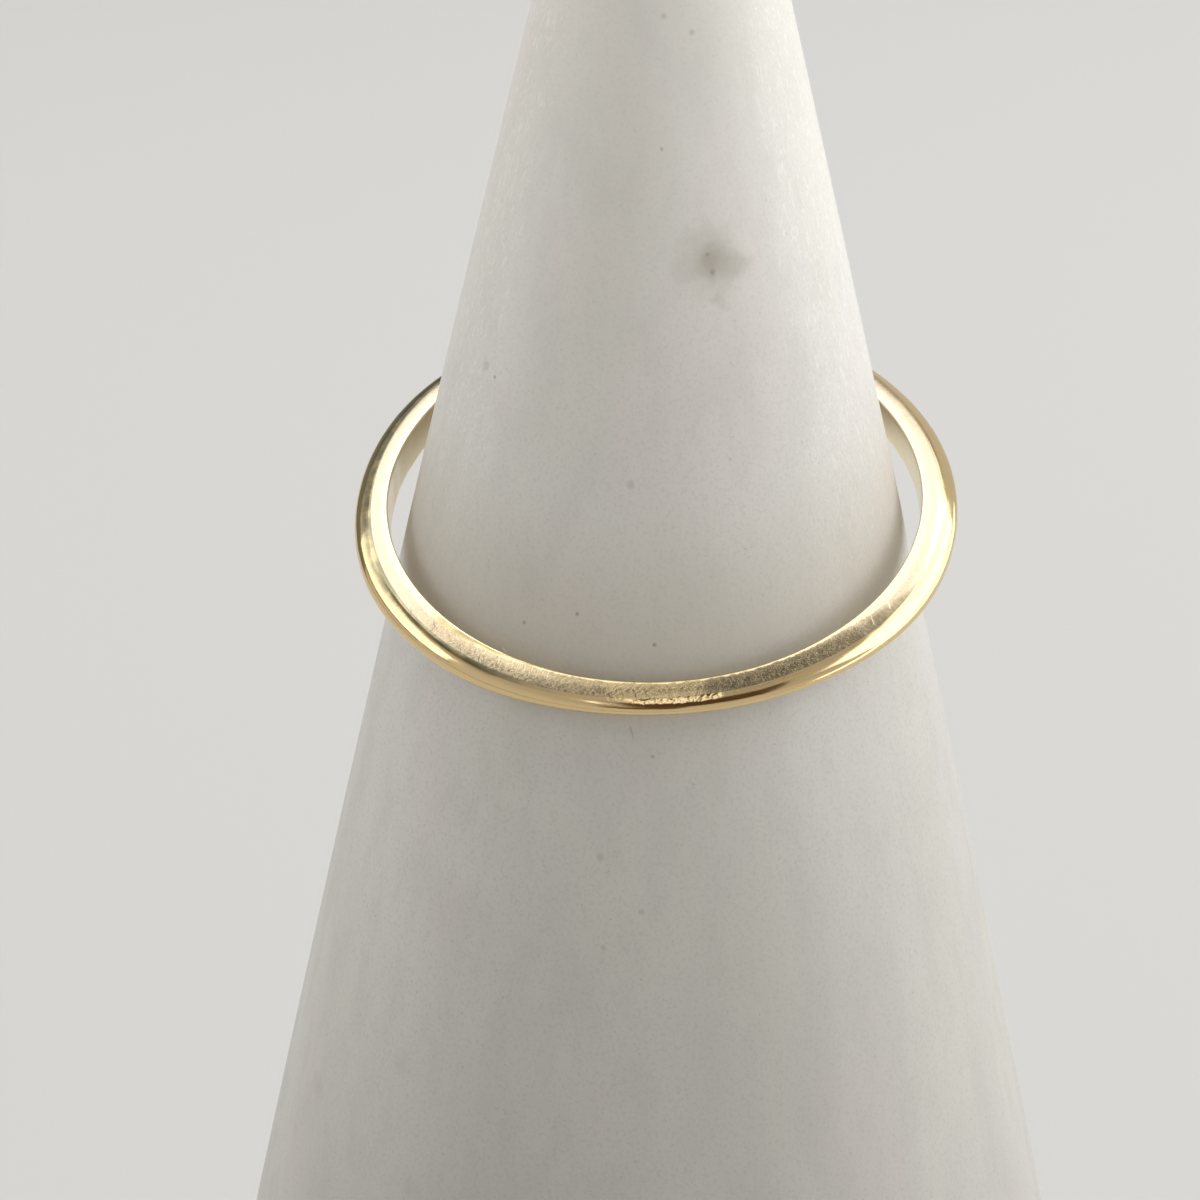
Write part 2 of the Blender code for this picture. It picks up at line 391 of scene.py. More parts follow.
class Nodes:
    """Writes the nodes of one material or world."""

    def __init__(self, owner):
        owner.use_nodes = True
        self.tree = owner.node_tree
        self.tree.nodes.clear()

    def add(self, kind, inputs=None, **settings):
        node = self.tree.nodes.new(kind)
        for name, value in settings.items():
            setattr(node, name, value)
        for name, value in (inputs or {}).items():
            self.put(node.inputs[name], value)
        return node

    def put(self, socket, value):
        if isinstance(value, bpy.types.NodeSocket):
            self.tree.links.new(value, socket)
        elif value is not None:
            socket.default_value = value

    def math(self, operation, *values, clamp=False):
        inputs = dict(enumerate(values))
        return self.add("ShaderNodeMath", inputs, operation=operation, use_clamp=clamp).outputs[0]

    def times(self, product, *factors):
        """The product of two or more shares."""
        for factor in factors:
            product = self.math("MULTIPLY", product, factor)
        return product

    def vector(self, operation, *values):
        inputs = dict(enumerate(values))
        return self.add("ShaderNodeVectorMath", inputs, operation=operation).outputs[0]

    def dot(self, first, second):
        node = self.add("ShaderNodeVectorMath", {0: first, 1: second}, operation="DOT_PRODUCT")
        return node.outputs["Value"]

    def scaled(self, vector, factor):
        node = self.add("ShaderNodeVectorMath", {0: vector, "Scale": factor}, operation="SCALE")
        return node.outputs[0]

    def fade(self, value, low, high, start=0.0, end=1.0):
        """A smooth step from start at low to end at high."""
        inputs = {"Value": value, "From Min": low, "From Max": high, "To Min": start, "To Max": end}
        return self.add("ShaderNodeMapRange", inputs, interpolation_type="SMOOTHSTEP").outputs[0]

    def noise(self, place, scale, detail, roughness=0.5, distortion=0.0):
        inputs = {"Vector": place, "Scale": scale, "Detail": detail, "Roughness": roughness}
        inputs["Distortion"] = distortion
        return self.add("ShaderNodeTexNoise", inputs).outputs[0]

    def blend(self, share, first, second):
        """A mix of two colours."""
        node = self.add("ShaderNodeMix", {0: share, 6: first, 7: second}, data_type="RGBA")
        return node.outputs[2]

    def distance(self, place, point):
        node = self.add("ShaderNodeVectorMath", {0: place, 1: point}, operation="DISTANCE")
        return node.outputs["Value"]

    def drift(self, place, scale):
        """A small shift every way, from -0.5 to 0.5."""
        inputs = {"Vector": place, "Scale": scale, "Detail": 1.0}
        noise = self.add("ShaderNodeTexNoise", inputs).outputs["Color"]
        return self.vector("SUBTRACT", noise, (0.5, 0.5, 0.5))

    def shifted(self, place, shift, reach):
        return self.vector("ADD", place, self.vector("MULTIPLY", shift, (reach, reach, reach)))

    def scratches(self, place, angles, threshold):
        """Short thin lines in several directions: 1 on a line, 0 off it."""
        lines = 0.0
        for number, angle in enumerate(angles):
            inputs = {"Vector": place, "Angle": angle}
            turned = self.add("ShaderNodeVectorRotate", inputs, rotation_type="Z_AXIS").outputs[0]
            stretched = self.add(
                "ShaderNodeVectorMath",
                {0: turned, 1: LINE_STRETCH, 2: (0.0, 0.0, LINE_LAYER_GAP * number)},
                operation="MULTIPLY_ADD",
            ).outputs[0]
            field = self.noise(stretched, 1.0, 1.0)
            lines = self.math("MAXIMUM", lines, self.fade(field, threshold, threshold + LINE_SOFTNESS))
        return lines

    def separate(self, vector):
        return self.add("ShaderNodeSeparateXYZ", {"Vector": vector}).outputs

    def bump(self, height, strength, distance, normal=None):
        inputs = {"Height": height, "Strength": strength, "Distance": distance, "Normal": normal}
        return self.add("ShaderNodeBump", inputs).outputs[0]


def section_sizes(turns):
    """Height, thickness and side-face width at each angle from the low front, on smooth closed curves."""
    count = len(SECTION_SHARES)
    place = turns / (2 * math.pi) * count
    row = np.floor(place).astype(int)
    along = (place - row)[:, None]
    a, b, c, d = (SECTION_SHARES[(row + offset) % count] for offset in (-1, 0, 1, 2))
    slope_in = (c - a) / 2
    slope_out = (d - b) / 2
    cubic = 2 * b - 2 * c + slope_in + slope_out
    square = 3 * c - 3 * b - 2 * slope_in - slope_out
    shares = ((cubic * along + square) * along + slope_in) * along + b
    sizes = shares * (RING_HEIGHT, RING_THICKNESS, SIDE_FACE_WIDTH)
    return sizes[:, 0:1], sizes[:, 1:2], sizes[:, 2:3]


def points_of(out, up):
    """Pairs of out and up, for every turn and every step along the outline."""
    return np.stack(np.broadcast_arrays(out, up), axis=-1)


def side_face_up(out, face_width):
    """Height of the upper side face, which falls to the ridge and is very slightly crowned."""
    share = (out - BORE_EDGE_ROUND) / (face_width - BORE_EDGE_ROUND)
    return -SIDE_FACE_FALL * share + 4 * SIDE_FACE_CROWN * share * (1 - share)


def upper_edge(height):
    swing = np.linspace(0, math.pi / 2, EDGE_STEPS, endpoint=False)[None, :]
    out = BORE_EDGE_ROUND * (1 - np.cos(swing))
    return points_of(out, BORE_EDGE_ROUND * (np.sin(swing) - 1) + 0 * height)


def upper_face(face_width):
    share = np.linspace(0, 1, SIDE_FACE_STEPS, endpoint=False)[None, :]
    out = BORE_EDGE_ROUND + share * (face_width - RIDGE_ROUND - BORE_EDGE_ROUND)
    return points_of(out, side_face_up(out, face_width))


def dome(height, thickness, face_width, side):
    """Points of the domed outside, where side runs from 1 at the upper ridge to -1 at the lower."""
    dome_half = height / 2 - SIDE_FACE_FALL
    out = thickness - (thickness - face_width) * np.abs(side) ** DOME_FULLNESS
    return points_of(out, dome_half * side - height / 2)


def upper_ridge(height, thickness, face_width, dome_start):
    """The rounded corner between the upper side face and the dome."""
    start_out = face_width - RIDGE_ROUND
    start = points_of(start_out, side_face_up(start_out, face_width))
    corner = points_of(face_width, -SIDE_FACE_FALL + 0 * face_width)
    end = dome(height, thickness, face_width, dome_start)
    share = np.linspace(0, 1, RIDGE_STEPS, endpoint=False)[None, :, None]
    return start * (1 - share) ** 2 + 2 * corner * share * (1 - share) + end * share**2


def ring_outlines(turns):
    """The ring's closed outlines, and for each step its zone's number plus its share of the zone."""
    height, thickness, face_width = section_sizes(turns)
    dome_start = 1 - RIDGE_ROUND / (height / 2 - SIDE_FACE_FALL)
    climb = np.linspace(0, 1, BORE_STEPS, endpoint=False)[None, :]
    bore = points_of(0 * climb, BORE_EDGE_ROUND - height + climb * (height - 2 * BORE_EDGE_ROUND))
    sweep = np.linspace(1, -1, DOME_STEPS, endpoint=False)[None, :]
    upper_zones = [
        upper_edge(height),
        upper_face(face_width),
        upper_ridge(height, thickness, face_width, dome_start),
    ]
    zones = [bore, *upper_zones, dome(height, thickness, face_width, sweep * dome_start)]
    outline = np.concatenate(zones, axis=1)
    # The lower edge, face and ridge mirror the upper ones about the middle of the ring's height
    first_dome_point = outline[:, BORE_STEPS + EDGE_STEPS + SIDE_FACE_STEPS + RIDGE_STEPS]
    upper = np.concatenate([*upper_zones, first_dome_point[:, None]], axis=1)[:, 1:]
    lower = upper[:, ::-1].copy()
    lower[..., 1] = -height - lower[..., 1]
    step_counts = (BORE_STEPS, EDGE_STEPS, SIDE_FACE_STEPS, RIDGE_STEPS, DOME_STEPS, RIDGE_STEPS)
    step_counts += (SIDE_FACE_STEPS, EDGE_STEPS)
    zone_places = [number + np.arange(count) / count for number, count in enumerate(step_counts)]
    return np.concatenate([outline, lower], axis=1), np.concatenate(zone_places)


def ring_turns():
    """Angles from the back round to the back again, closer together about the low front."""
    even = np.linspace(-math.pi, math.pi, TURN_SAMPLES)
    closeness = 1 + FRONT_FINENESS * np.exp(-((even / FRONT_SPREAD) ** 2))
    reach = np.concatenate([[0], np.cumsum((closeness[1:] + closeness[:-1]) / 2)])
    return np.interp(np.arange(RING_STEPS) / RING_STEPS, reach / reach[-1], even)


def outward_normals(grid):
    along, across = (np.roll(grid, -1, axis) - np.roll(grid, 1, axis) for axis in (0, 1))
    normals = np.cross(along, across)
    return normals / np.linalg.norm(normals, axis=-1, keepdims=True)


def swell(turns, from_ridge, random):
    """The slow swell of the hand-worked gold, from -1 to 0."""
    total = np.zeros(from_ridge.shape)
    for waves in SWELL_WAVES:
        phase = random.uniform(0, 2 * math.pi)
        slant = random.uniform(-2, 2) / MM
        total += np.sin(waves * turns[:, None] + phase + slant * from_ridge) / len(SWELL_WAVES)
    return (total - 1) / 2


def nick_cuts(along, from_ridge, random, group):
    """How deep one group of nicks cuts each point of the ring."""
    count, turns, outs, leans, half_lengths, width, depths = group
    cuts = np.zeros(from_ridge.shape)
    for _ in range(count):
        ahead = along - math.radians(random.uniform(*turns)) * (BORE_DIAMETER + RING_THICKNESS) / 2
        aside = from_ridge - random.uniform(*outs) * MM
        lean = math.radians(random.uniform(*leans))
        run = np.abs(ahead * math.cos(lean) + aside * math.sin(lean))
        off = aside * math.cos(lean) - ahead * math.sin(lean)
        beyond = np.maximum(run - random.uniform(*half_lengths) * MM, 0)
        depth = random.uniform(*depths) * MM
        cuts = np.maximum(cuts, depth * np.exp(-(beyond**2 + off**2) / (width * MM) ** 2))
    return cuts


def worked_relief(turns, along, across):
    """Heights of the swell and the nicks over the ring, none above 0."""
    random = np.random.default_rng(WORK_SEED)
    ridge_step = BORE_STEPS + EDGE_STEPS + SIDE_FACE_STEPS + RIDGE_STEPS // 2
    from_ridge = across - across[:, ridge_step : ridge_step + 1]
    relief = SWELL_HEIGHT * swell(turns, from_ridge, random)
    for group in NICK_GROUPS:
        relief -= nick_cuts(along, from_ridge, random, group)
    return relief


def grid_mesh(name, grid, layers):
    """A closed tube of quads through a grid of points, with UV layers of (name, first, second)."""
    rows, steps = grid.shape[:2]
    row, step = np.meshgrid(np.arange(rows), np.arange(steps), indexing="ij")
    corners = [(row, step), (row + 1, step), (row + 1, step + 1), (row, step + 1)]
    quads = np.stack([(r % rows) * steps + s % steps for r, s in corners], axis=-1).reshape(-1, 4)
    mesh = bpy.data.meshes.new(name)
    mesh.from_pydata(grid.reshape(-1, 3).tolist(), [], quads.tolist())
    for layer_name, first, second in layers:
        places = np.stack([np.stack([first[r, s], second[r, s]], axis=-1) for r, s in corners], axis=2)
        layer = mesh.uv_layers.new(name=layer_name)
        layer.data.foreach_set("uv", places.reshape(-1).astype(np.float32))
    mesh.shade_smooth()
    return mesh


def closed_after(values, row_end, step_end):
    """A grid with one more row and column, whose last ones carry on instead of wrapping round."""
    wider = np.concatenate([values, values[:, :1] + step_end], axis=1)
    return np.concatenate([wider, wider[:1] + row_end], axis=0)


def make_ring(material):
    turns = ring_turns()
    outlines, zone_places = ring_outlines(turns)
    bore_radius = BORE_DIAMETER / 2
    outward = np.stack([-np.sin(turns), -np.cos(turns)], axis=-1)[:, None, :]
    grid = np.concatenate([outward * (bore_radius + outlines[..., 0:1]), outlines[..., 1:2]], axis=-1)
    steps_long = np.linalg.norm(np.roll(outlines, -1, axis=1) - outlines, axis=-1)
    across = np.cumsum(steps_long, axis=1) - steps_long
    girth = steps_long.sum(axis=1, keepdims=True)
    along = np.broadcast_to(turns[:, None] * (bore_radius + RING_THICKNESS / 2), across.shape)
    grid += outward_normals(grid) * worked_relief(turns, along, across)[..., None]
    zones = np.broadcast_to(zone_places[None, :], across.shape)
    share = np.broadcast_to(turns[:, None] / (2 * math.pi), across.shape)
    circle = 2 * math.pi * (bore_radius + RING_THICKNESS / 2)
    across_closed = np.concatenate([across, girth], axis=1)
    across_closed = np.concatenate([across_closed, across_closed[:1]], axis=0)
    layers = [
        ("worked_mm", closed_after(along, circle, 0) / MM, across_closed / MM),
        ("zones", closed_after(share, 1, 0), closed_after(zones, 0, ZONE_COUNT)),
    ]
    mesh = grid_mesh("gold_ring", grid, layers)
    mesh.transform(Matrix.Rotation(RING_TILT, 4, "X"))
    mesh.materials.append(material)
    ring = bpy.data.objects.new("gold_ring", mesh)
    bpy.context.scene.collection.objects.link(ring)
    return ring


def seat_on_node(piece, node):
    """Moves a piece's mesh so that the middle of its box is the middle of the node's box."""
    points = np.array([vertex.co for vertex in piece.data.vertices])
    middle = Vector((points.min(axis=0) + points.max(axis=0)) / 2)
    low, high = (Vector(corner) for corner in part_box(node))
    shift = (low + high) / 2 - middle
    piece.data.transform(Matrix.Translation(shift))
    return shift


def tip_tangent():
    """The cone side's half-angle, and the radius and height where it meets the round tip."""
    tip_radius = CONE_TIP_DIAMETER / 2
    tip_centre = CONE_HEIGHT - tip_radius
    base_radius = CONE_BASE_DIAMETER / 2
    half_angle = math.atan2(base_radius, tip_centre)
    half_angle -= math.asin(tip_radius / math.hypot(base_radius, tip_centre))
    return half_angle, tip_radius * math.cos(half_angle), tip_centre + tip_radius * math.sin(half_angle)


def cone_radius(level):
    """The radius of the cone's slightly bowed side at a height."""
    _, top_radius, top_height = tip_tangent()
    share = level / top_height
    straight = CONE_BASE_DIAMETER / 2 * (1 - share) + top_radius * share
    return straight + 4 * CONE_BELLY * share * (1 - share)


def cone_point(azimuth, level):
    """The point of the cone's side at an azimuth in degrees from -Y towards +X and a height in mm."""
    swing = math.radians(azimuth)
    radius = cone_radius(level * MM)
    return Vector((radius * math.sin(swing), -radius * math.cos(swing), level * MM))


def cone_outline():
    """Radius and height of the turned outline, from the foot's rim to just short of the tip's pole."""
    half_angle, _, top_height = tip_tangent()
    swing = np.linspace(-math.pi / 2, 0, CONE_ROUND_STEPS, endpoint=False)
    foot_radius = cone_radius(FOOT_EDGE_ROUND) - FOOT_EDGE_ROUND
    foot = points_of(foot_radius + FOOT_EDGE_ROUND * np.cos(swing), FOOT_EDGE_ROUND * (1 + np.sin(swing)))
    levels = np.linspace(FOOT_EDGE_ROUND, top_height, CONE_SIDE_STEPS, endpoint=False)
    side = points_of(cone_radius(levels), levels)
    swing = np.linspace(half_angle, math.pi / 2, CONE_ROUND_STEPS, endpoint=False)
    tip_radius = CONE_TIP_DIAMETER / 2
    tip = points_of(tip_radius * np.cos(swing), CONE_HEIGHT + tip_radius * (np.sin(swing) - 1))
    return np.concatenate([foot, side, tip])


def make_cone(material):
    outline = cone_outline()
    turns = np.arange(CONE_SEGMENTS) * 2 * math.pi / CONE_SEGMENTS
    circle = np.stack([np.cos(turns), np.sin(turns)], axis=-1)
    points = []
    faces = []
    for radius, level in outline:
        points += [(radius * x, radius * y, level) for x, y in circle]
    for row in range(len(outline) - 1):
        for step in range(CONE_SEGMENTS):
            beside = (step + 1) % CONE_SEGMENTS
            start = row * CONE_SEGMENTS
            above = start + CONE_SEGMENTS
            faces.append((start + step, start + beside, above + beside, above + step))
    last = (len(outline) - 1) * CONE_SEGMENTS
    pole = len(points)
    points.append((0, 0, CONE_HEIGHT))
    faces += [(last + step, last + (step + 1) % CONE_SEGMENTS, pole) for step in range(CONE_SEGMENTS)]
    faces.append(tuple(reversed(range(CONE_SEGMENTS))))
    mesh = bpy.data.meshes.new("turned_cone")
    mesh.from_pydata(points, [], faces)
    mesh.shade_smooth()
    mesh.set_sharp_from_angle(angle=SHARP_EDGE)
    mesh.materials.append(material)
    cone = bpy.data.objects.new("turned_cone", mesh)
    bpy.context.scene.collection.objects.link(cone)
    return cone


def line_distance(nodes, place, start, end):
    """The distance from a place to the line between two points."""
    run = end - start
    from_start = nodes.vector("SUBTRACT", place, start)
    share = nodes.math("DIVIDE", nodes.dot(from_start, run), run.length_squared, clamp=True)
    return nodes.distance(from_start, nodes.scaled(run, share))


def side_face_share(nodes, turn, fold, worked):
    """1 on the rubbed side faces and 0 elsewhere, with a ragged border beside the inner edge."""
    rags = nodes.noise(worked, RAGGED_SCALE, 3.0, 0.6)
    ragged = nodes.math("ADD", fold, nodes.fade(rags, *SATIN_EDGE_RAGS))
    border = nodes.fade(turn, *SATIN_EDGE_LEFT)
    border = nodes.math("MINIMUM", border, nodes.fade(turn, *SATIN_EDGE_RIGHT))
    within = nodes.fade(nodes.math("SUBTRACT", ragged, border), *SATIN_EDGE_FADE)
    return nodes.times(nodes.fade(fold, *SATIN_FOLDS), within)


def satin_colour(nodes, turn, off_front, grain, ticks, pale_lines, dark_lines):
    """The scratched satin's colour, golden at the front, darker to its right and paler to its left: this
    change round the ring is painted light and shade.
    """
    colour = nodes.blend(nodes.fade(off_front, *GOLDEN_FRONT_TURNS), SATIN_RIGHT, SATIN_FRONT)
    colour = nodes.blend(nodes.fade(turn, *PALE_LEFT_TURNS), colour, SATIN_LEFT)
    # Painted glints on the satin's grain and ticks
    lit = nodes.math("ADD", nodes.fade(grain, *LIT_GRAIN), nodes.fade(ticks, *LIT_TICKS))
    colour = nodes.blend(lit, colour, SATIN_LIT)
    colour = nodes.blend(nodes.times(dark_lines, DARK_LINE_STRENGTH), colour, SATIN_DARK_LINE)
    # Pale scratch lines with a painted glint
    return nodes.blend(nodes.times(pale_lines, PALE_LINE_STRENGTH), colour, SATIN_PALE_LINE)


def painted_shade_share(nodes, turn, fold, clouds, ticks):
    """How strong the painted shade on the side face is, from the right of the front to the right side,
    where it ends in a slant.
    """
    start = nodes.math("ADD", turn, nodes.fade(clouds, *SHADE_CLOUD_SHIFT))
    end = nodes.math("ADD", start, nodes.fade(fold, *SHADE_SLANT))
    between = nodes.times(nodes.fade(start, *SHADE_START_TURNS), nodes.fade(end, *SHADE_END_TURNS))
    return nodes.times(between, nodes.fade(ticks, *SHADE_TICKS))


def inner_edge_shade_share(nodes, turn, fold):
    """How strong the painted shade on the front of the inner edge is."""
    near_front = nodes.times(nodes.fade(turn, *INNER_SHADE_START_TURNS), nodes.fade(turn, *INNER_SHADE_END_TURNS))
    return nodes.times(near_front, nodes.fade(fold, *INNER_SHADE_FOLDS))


def ridge_dark_share(nodes, turn, fold, clouds):
    """How dark the thin line along the ridge is, most of all on the left."""
    reach = nodes.fade(turn, *RIDGE_DARK_REACH_TURNS)
    left = nodes.fade(turn, *RIDGE_DARK_LEFT_TURNS)
    right = nodes.fade(turn, *RIDGE_DARK_RIGHT_TURNS)
    return nodes.times(
        nodes.fade(nodes.math("SUBTRACT", fold, reach), *RIDGE_DARK_START_FADE),
        nodes.fade(fold, *RIDGE_DARK_END_FOLDS),
        nodes.math("ADD", left, right),
        nodes.fade(clouds, *RIDGE_DARK_CLOUDS),
    )


def mark_gold(nodes, colour, zone_place, worked):
    """Adds the scratches that stand out on the ring's side face; the pale ones are painted with a glint."""
    circle = math.pi * (BORE_DIAMETER + RING_THICKNESS) / MM
    unrolled = nodes.vector("MULTIPLY", zone_place, (circle, SIDE_FACE_REACH, 0.0))
    unrolled = nodes.shifted(unrolled, nodes.drift(worked, GOLD_MARK_DRIFT_SCALE), GOLD_MARK_DRIFT)
    for marks, tint in ((DARK_GOLD_MARKS, DARK_GOLD_MARK), (PALE_GOLD_MARKS, PALE_GOLD_MARK)):
        for start_turn, start_zone, end_turn, end_zone, strength in marks:
            start = Vector((start_turn / 360 * circle, start_zone * SIDE_FACE_REACH, 0))
            end = Vector((end_turn / 360 * circle, end_zone * SIDE_FACE_REACH, 0))
            off = line_distance(nodes, unrolled, start, end)
            share = nodes.fade(off, 0.0, GOLD_MARK_HALF_WIDTH, strength, 0.0)
            colour = nodes.blend(share, colour, tint)
    return colour


def gold_material():
    material = bpy.data.materials.new("worn_gold")
    nodes = Nodes(material)
    worked = nodes.add("ShaderNodeUVMap", uv_map="worked_mm").outputs[0]
    zone_place = nodes.add("ShaderNodeUVMap", uv_map="zones").outputs[0]
    turn, zone, _ = nodes.separate(zone_place)
    fold = nodes.math("ABSOLUTE", nodes.math("SUBTRACT", zone, DOME_MIDDLE))
    off_front = nodes.math("ABSOLUTE", nodes.math("ADD", turn, GOLDEN_FRONT_SHIFT))
    face = side_face_share(nodes, turn, fold, worked)
    scratched = nodes.times(face, nodes.fade(off_front, *SCRATCHED_TURNS))

    grain = nodes.noise(worked, GOLD_GRAIN_SCALE, 3.0, 0.7)
    ticks = nodes.noise(nodes.vector("MULTIPLY", worked, TICK_STRETCH), 1.0, 2.0, 0.6)
    brushed = nodes.noise(nodes.vector("MULTIPLY", worked, BRUSH_STRETCH), 1.0, 3.0, 0.6)
    clouds = nodes.noise(worked, GOLD_CLOUD_SCALE, 3.0, 0.55)
    pale_lines = nodes.scratches(worked, PALE_LINE_ANGLES, PALE_LINE_THRESHOLD)
    dark_lines = nodes.scratches(worked, DARK_LINE_ANGLES, DARK_LINE_THRESHOLD)

    satin_roughness = nodes.fade(grain, *SATIN_ROUGHNESS)
    polished_roughness = nodes.math("ADD", nodes.times(brushed, BRUSHED_ROUGHNESS), POLISHED_ROUGHNESS)
    mix = {0: face, 2: polished_roughness, 3: satin_roughness}
    roughness = nodes.add("ShaderNodeMix", mix, data_type="FLOAT").outputs[0]
    in_bore = nodes.fade(fold, *BORE_FOLDS)
    roughness = nodes.math("ADD", roughness, nodes.times(in_bore, BORE_ROUGHNESS))

    cloudy = nodes.fade(clouds, *POLISH_CLOUDS)
    colour = nodes.blend(cloudy, POLISHED_WARM, POLISHED_PALE)
    # Painted highlight on the polished inner strip and inner edge
    colour = nodes.blend(nodes.fade(fold, *INNER_STRIP_FOLDS), colour, INNER_STRIP_HIGHLIGHT)
    colour = nodes.blend(nodes.fade(fold, *INNER_EDGE_FOLDS), colour, INNER_EDGE_HIGHLIGHT)
    colour = nodes.blend(face, colour, nodes.blend(cloudy, RUBBED_DARK, RUBBED_PALE))
    satin = satin_colour(nodes, turn, off_front, grain, ticks, pale_lines, dark_lines)
    colour = nodes.blend(scratched, colour, satin)
    # Painted shade on the right of the side face
    painted_shade = nodes.times(painted_shade_share(nodes, turn, fold, clouds, ticks), face)
    colour = nodes.blend(painted_shade, colour, PAINTED_SHADE_GOLD)
    # Painted shade on the front of the inner edge
    colour = nodes.blend(inner_edge_shade_share(nodes, turn, fold), colour, PAINTED_SHADE_GOLD)
    # Darkens a thin line along the ridge
    colour = nodes.blend(ridge_dark_share(nodes, turn, fold, clouds), colour, RIDGE_DARK)
    colour = mark_gold(nodes, colour, zone_place, worked)

    height = nodes.math("ADD", nodes.times(grain, GRAIN_HEIGHT), nodes.times(ticks, TICK_HEIGHT))
    height = nodes.math("SUBTRACT", height, nodes.times(pale_lines, LINE_DEPTH))
    normal = nodes.bump(height, nodes.times(scratched, SATIN_BUMP), SATIN_RELIEF)
    normal = nodes.bump(brushed, nodes.math("SUBTRACT", 1.0, scratched), POLISHED_RELIEF, normal)
    shader = nodes.add(
        "ShaderNodeBsdfPrincipled",
        {"Base Color": colour, "Metallic": 1.0, "Roughness": roughness, "Normal": normal},
    )
    nodes.add("ShaderNodeOutputMaterial", {"Surface": shader.outputs[0]})
    return material


def stone_colour(nodes, place, tall, mottle, grains, rise):
    """The honed stone's colour, before its wear and its marks."""
    clouds = nodes.noise(tall, STONE_CLOUD_SCALE, 3.0, 0.55)
    hues = nodes.noise(tall, STONE_HUE_SCALE, 2.0, 0.5)
    specks = nodes.noise(place, STONE_SPECK_SCALE, 2.0, 0.7)
    coarse = nodes.fade(rise, *COARSE_RISE)
    colour = nodes.blend(nodes.fade(clouds, *STONE_CLOUDS), STONE_GREY, STONE_WHITE)
    colour = nodes.blend(nodes.fade(hues, *GREENISH_HUES), colour, STONE_GREENISH)
    colour = nodes.blend(nodes.fade(hues, *PINKISH_HUES), colour, STONE_PINKISH)
    colour = nodes.blend(nodes.fade(mottle, *MOTTLE), colour, STONE_MOTTLE)
    share = nodes.times(nodes.fade(grains, *GRAINS), coarse)
    colour = nodes.blend(share, colour, STONE_GRAIN)
    share = nodes.times(nodes.fade(specks, *SPECKS), coarse)
    return nodes.blend(share, colour, STONE_SPECK)


def stone_light_and_hairlines(nodes, place, across, rise):
    """The factor on the stone's colour: painted light, palest at the thin top, where light comes through,
    with hairline scratches and painted light on the lower flanks.
    """
    # Painted light, palest at the thin top
    painted_top_light = nodes.fade(rise, *PAINTED_LIGHT_RISE)
    # How far round to the left or right side a place lies
    flank = nodes.math("DIVIDE", nodes.math("ABSOLUTE", across), nodes.math("SUBTRACT", CONE_APEX, rise))
    # Hairline scratches on the flanks, towards the top
    stretched = nodes.vector("MULTIPLY", place, HAIR_STRETCH)
    hairs = nodes.fade(nodes.noise(stretched, 1.0, 1.0, distortion=HAIR_DISTORTION), *HAIRS)
    hairs = nodes.times(hairs, nodes.fade(flank, *HAIR_FLANKS), nodes.fade(rise, *HAIR_RISE))
    # Painted light: paler flanks low down
    painted_flank_light = nodes.times(nodes.fade(flank, *PAINTED_FLANK_LIGHT), nodes.fade(rise, *PAINTED_FLANK_LIGHT_RISE))
    return nodes.math("ADD", nodes.math("ADD", painted_top_light, hairs), painted_flank_light)


def ring_glow_share(nodes, place, rim_centre):
    """How much gold light from the ring's inside warms the stone beside and above it."""
    ring_axis = Vector((0.0, -math.sin(RING_TILT), math.cos(RING_TILT)))
    above = nodes.dot(nodes.vector("SUBTRACT", place, rim_centre), ring_axis)
    return nodes.times(nodes.fade(above, *GLOW_START), nodes.fade(above, *GLOW_END))


def spot_stone(nodes, colour, place, spots, core, tint):
    """Adds round marks, each full strength out to a share of its radius."""
    for azimuth, level, radius, strength in spots:
        off = nodes.distance(place, cone_point(azimuth, level))
        share = nodes.fade(off, core * radius * MM, radius * MM, strength, 0.0)
        colour = nodes.blend(share, colour, tint)
    return colour


def scratch_stone(nodes, colour, place, lines, tint):
    for start_azimuth, start_level, end_azimuth, end_level, half_width, strength in lines:
        ends = cone_point(start_azimuth, start_level), cone_point(end_azimuth, end_level)
        share = nodes.fade(line_distance(nodes, place, *ends), 0.0, half_width * MM, strength, 0.0)
        colour = nodes.blend(share, colour, tint)
    return colour


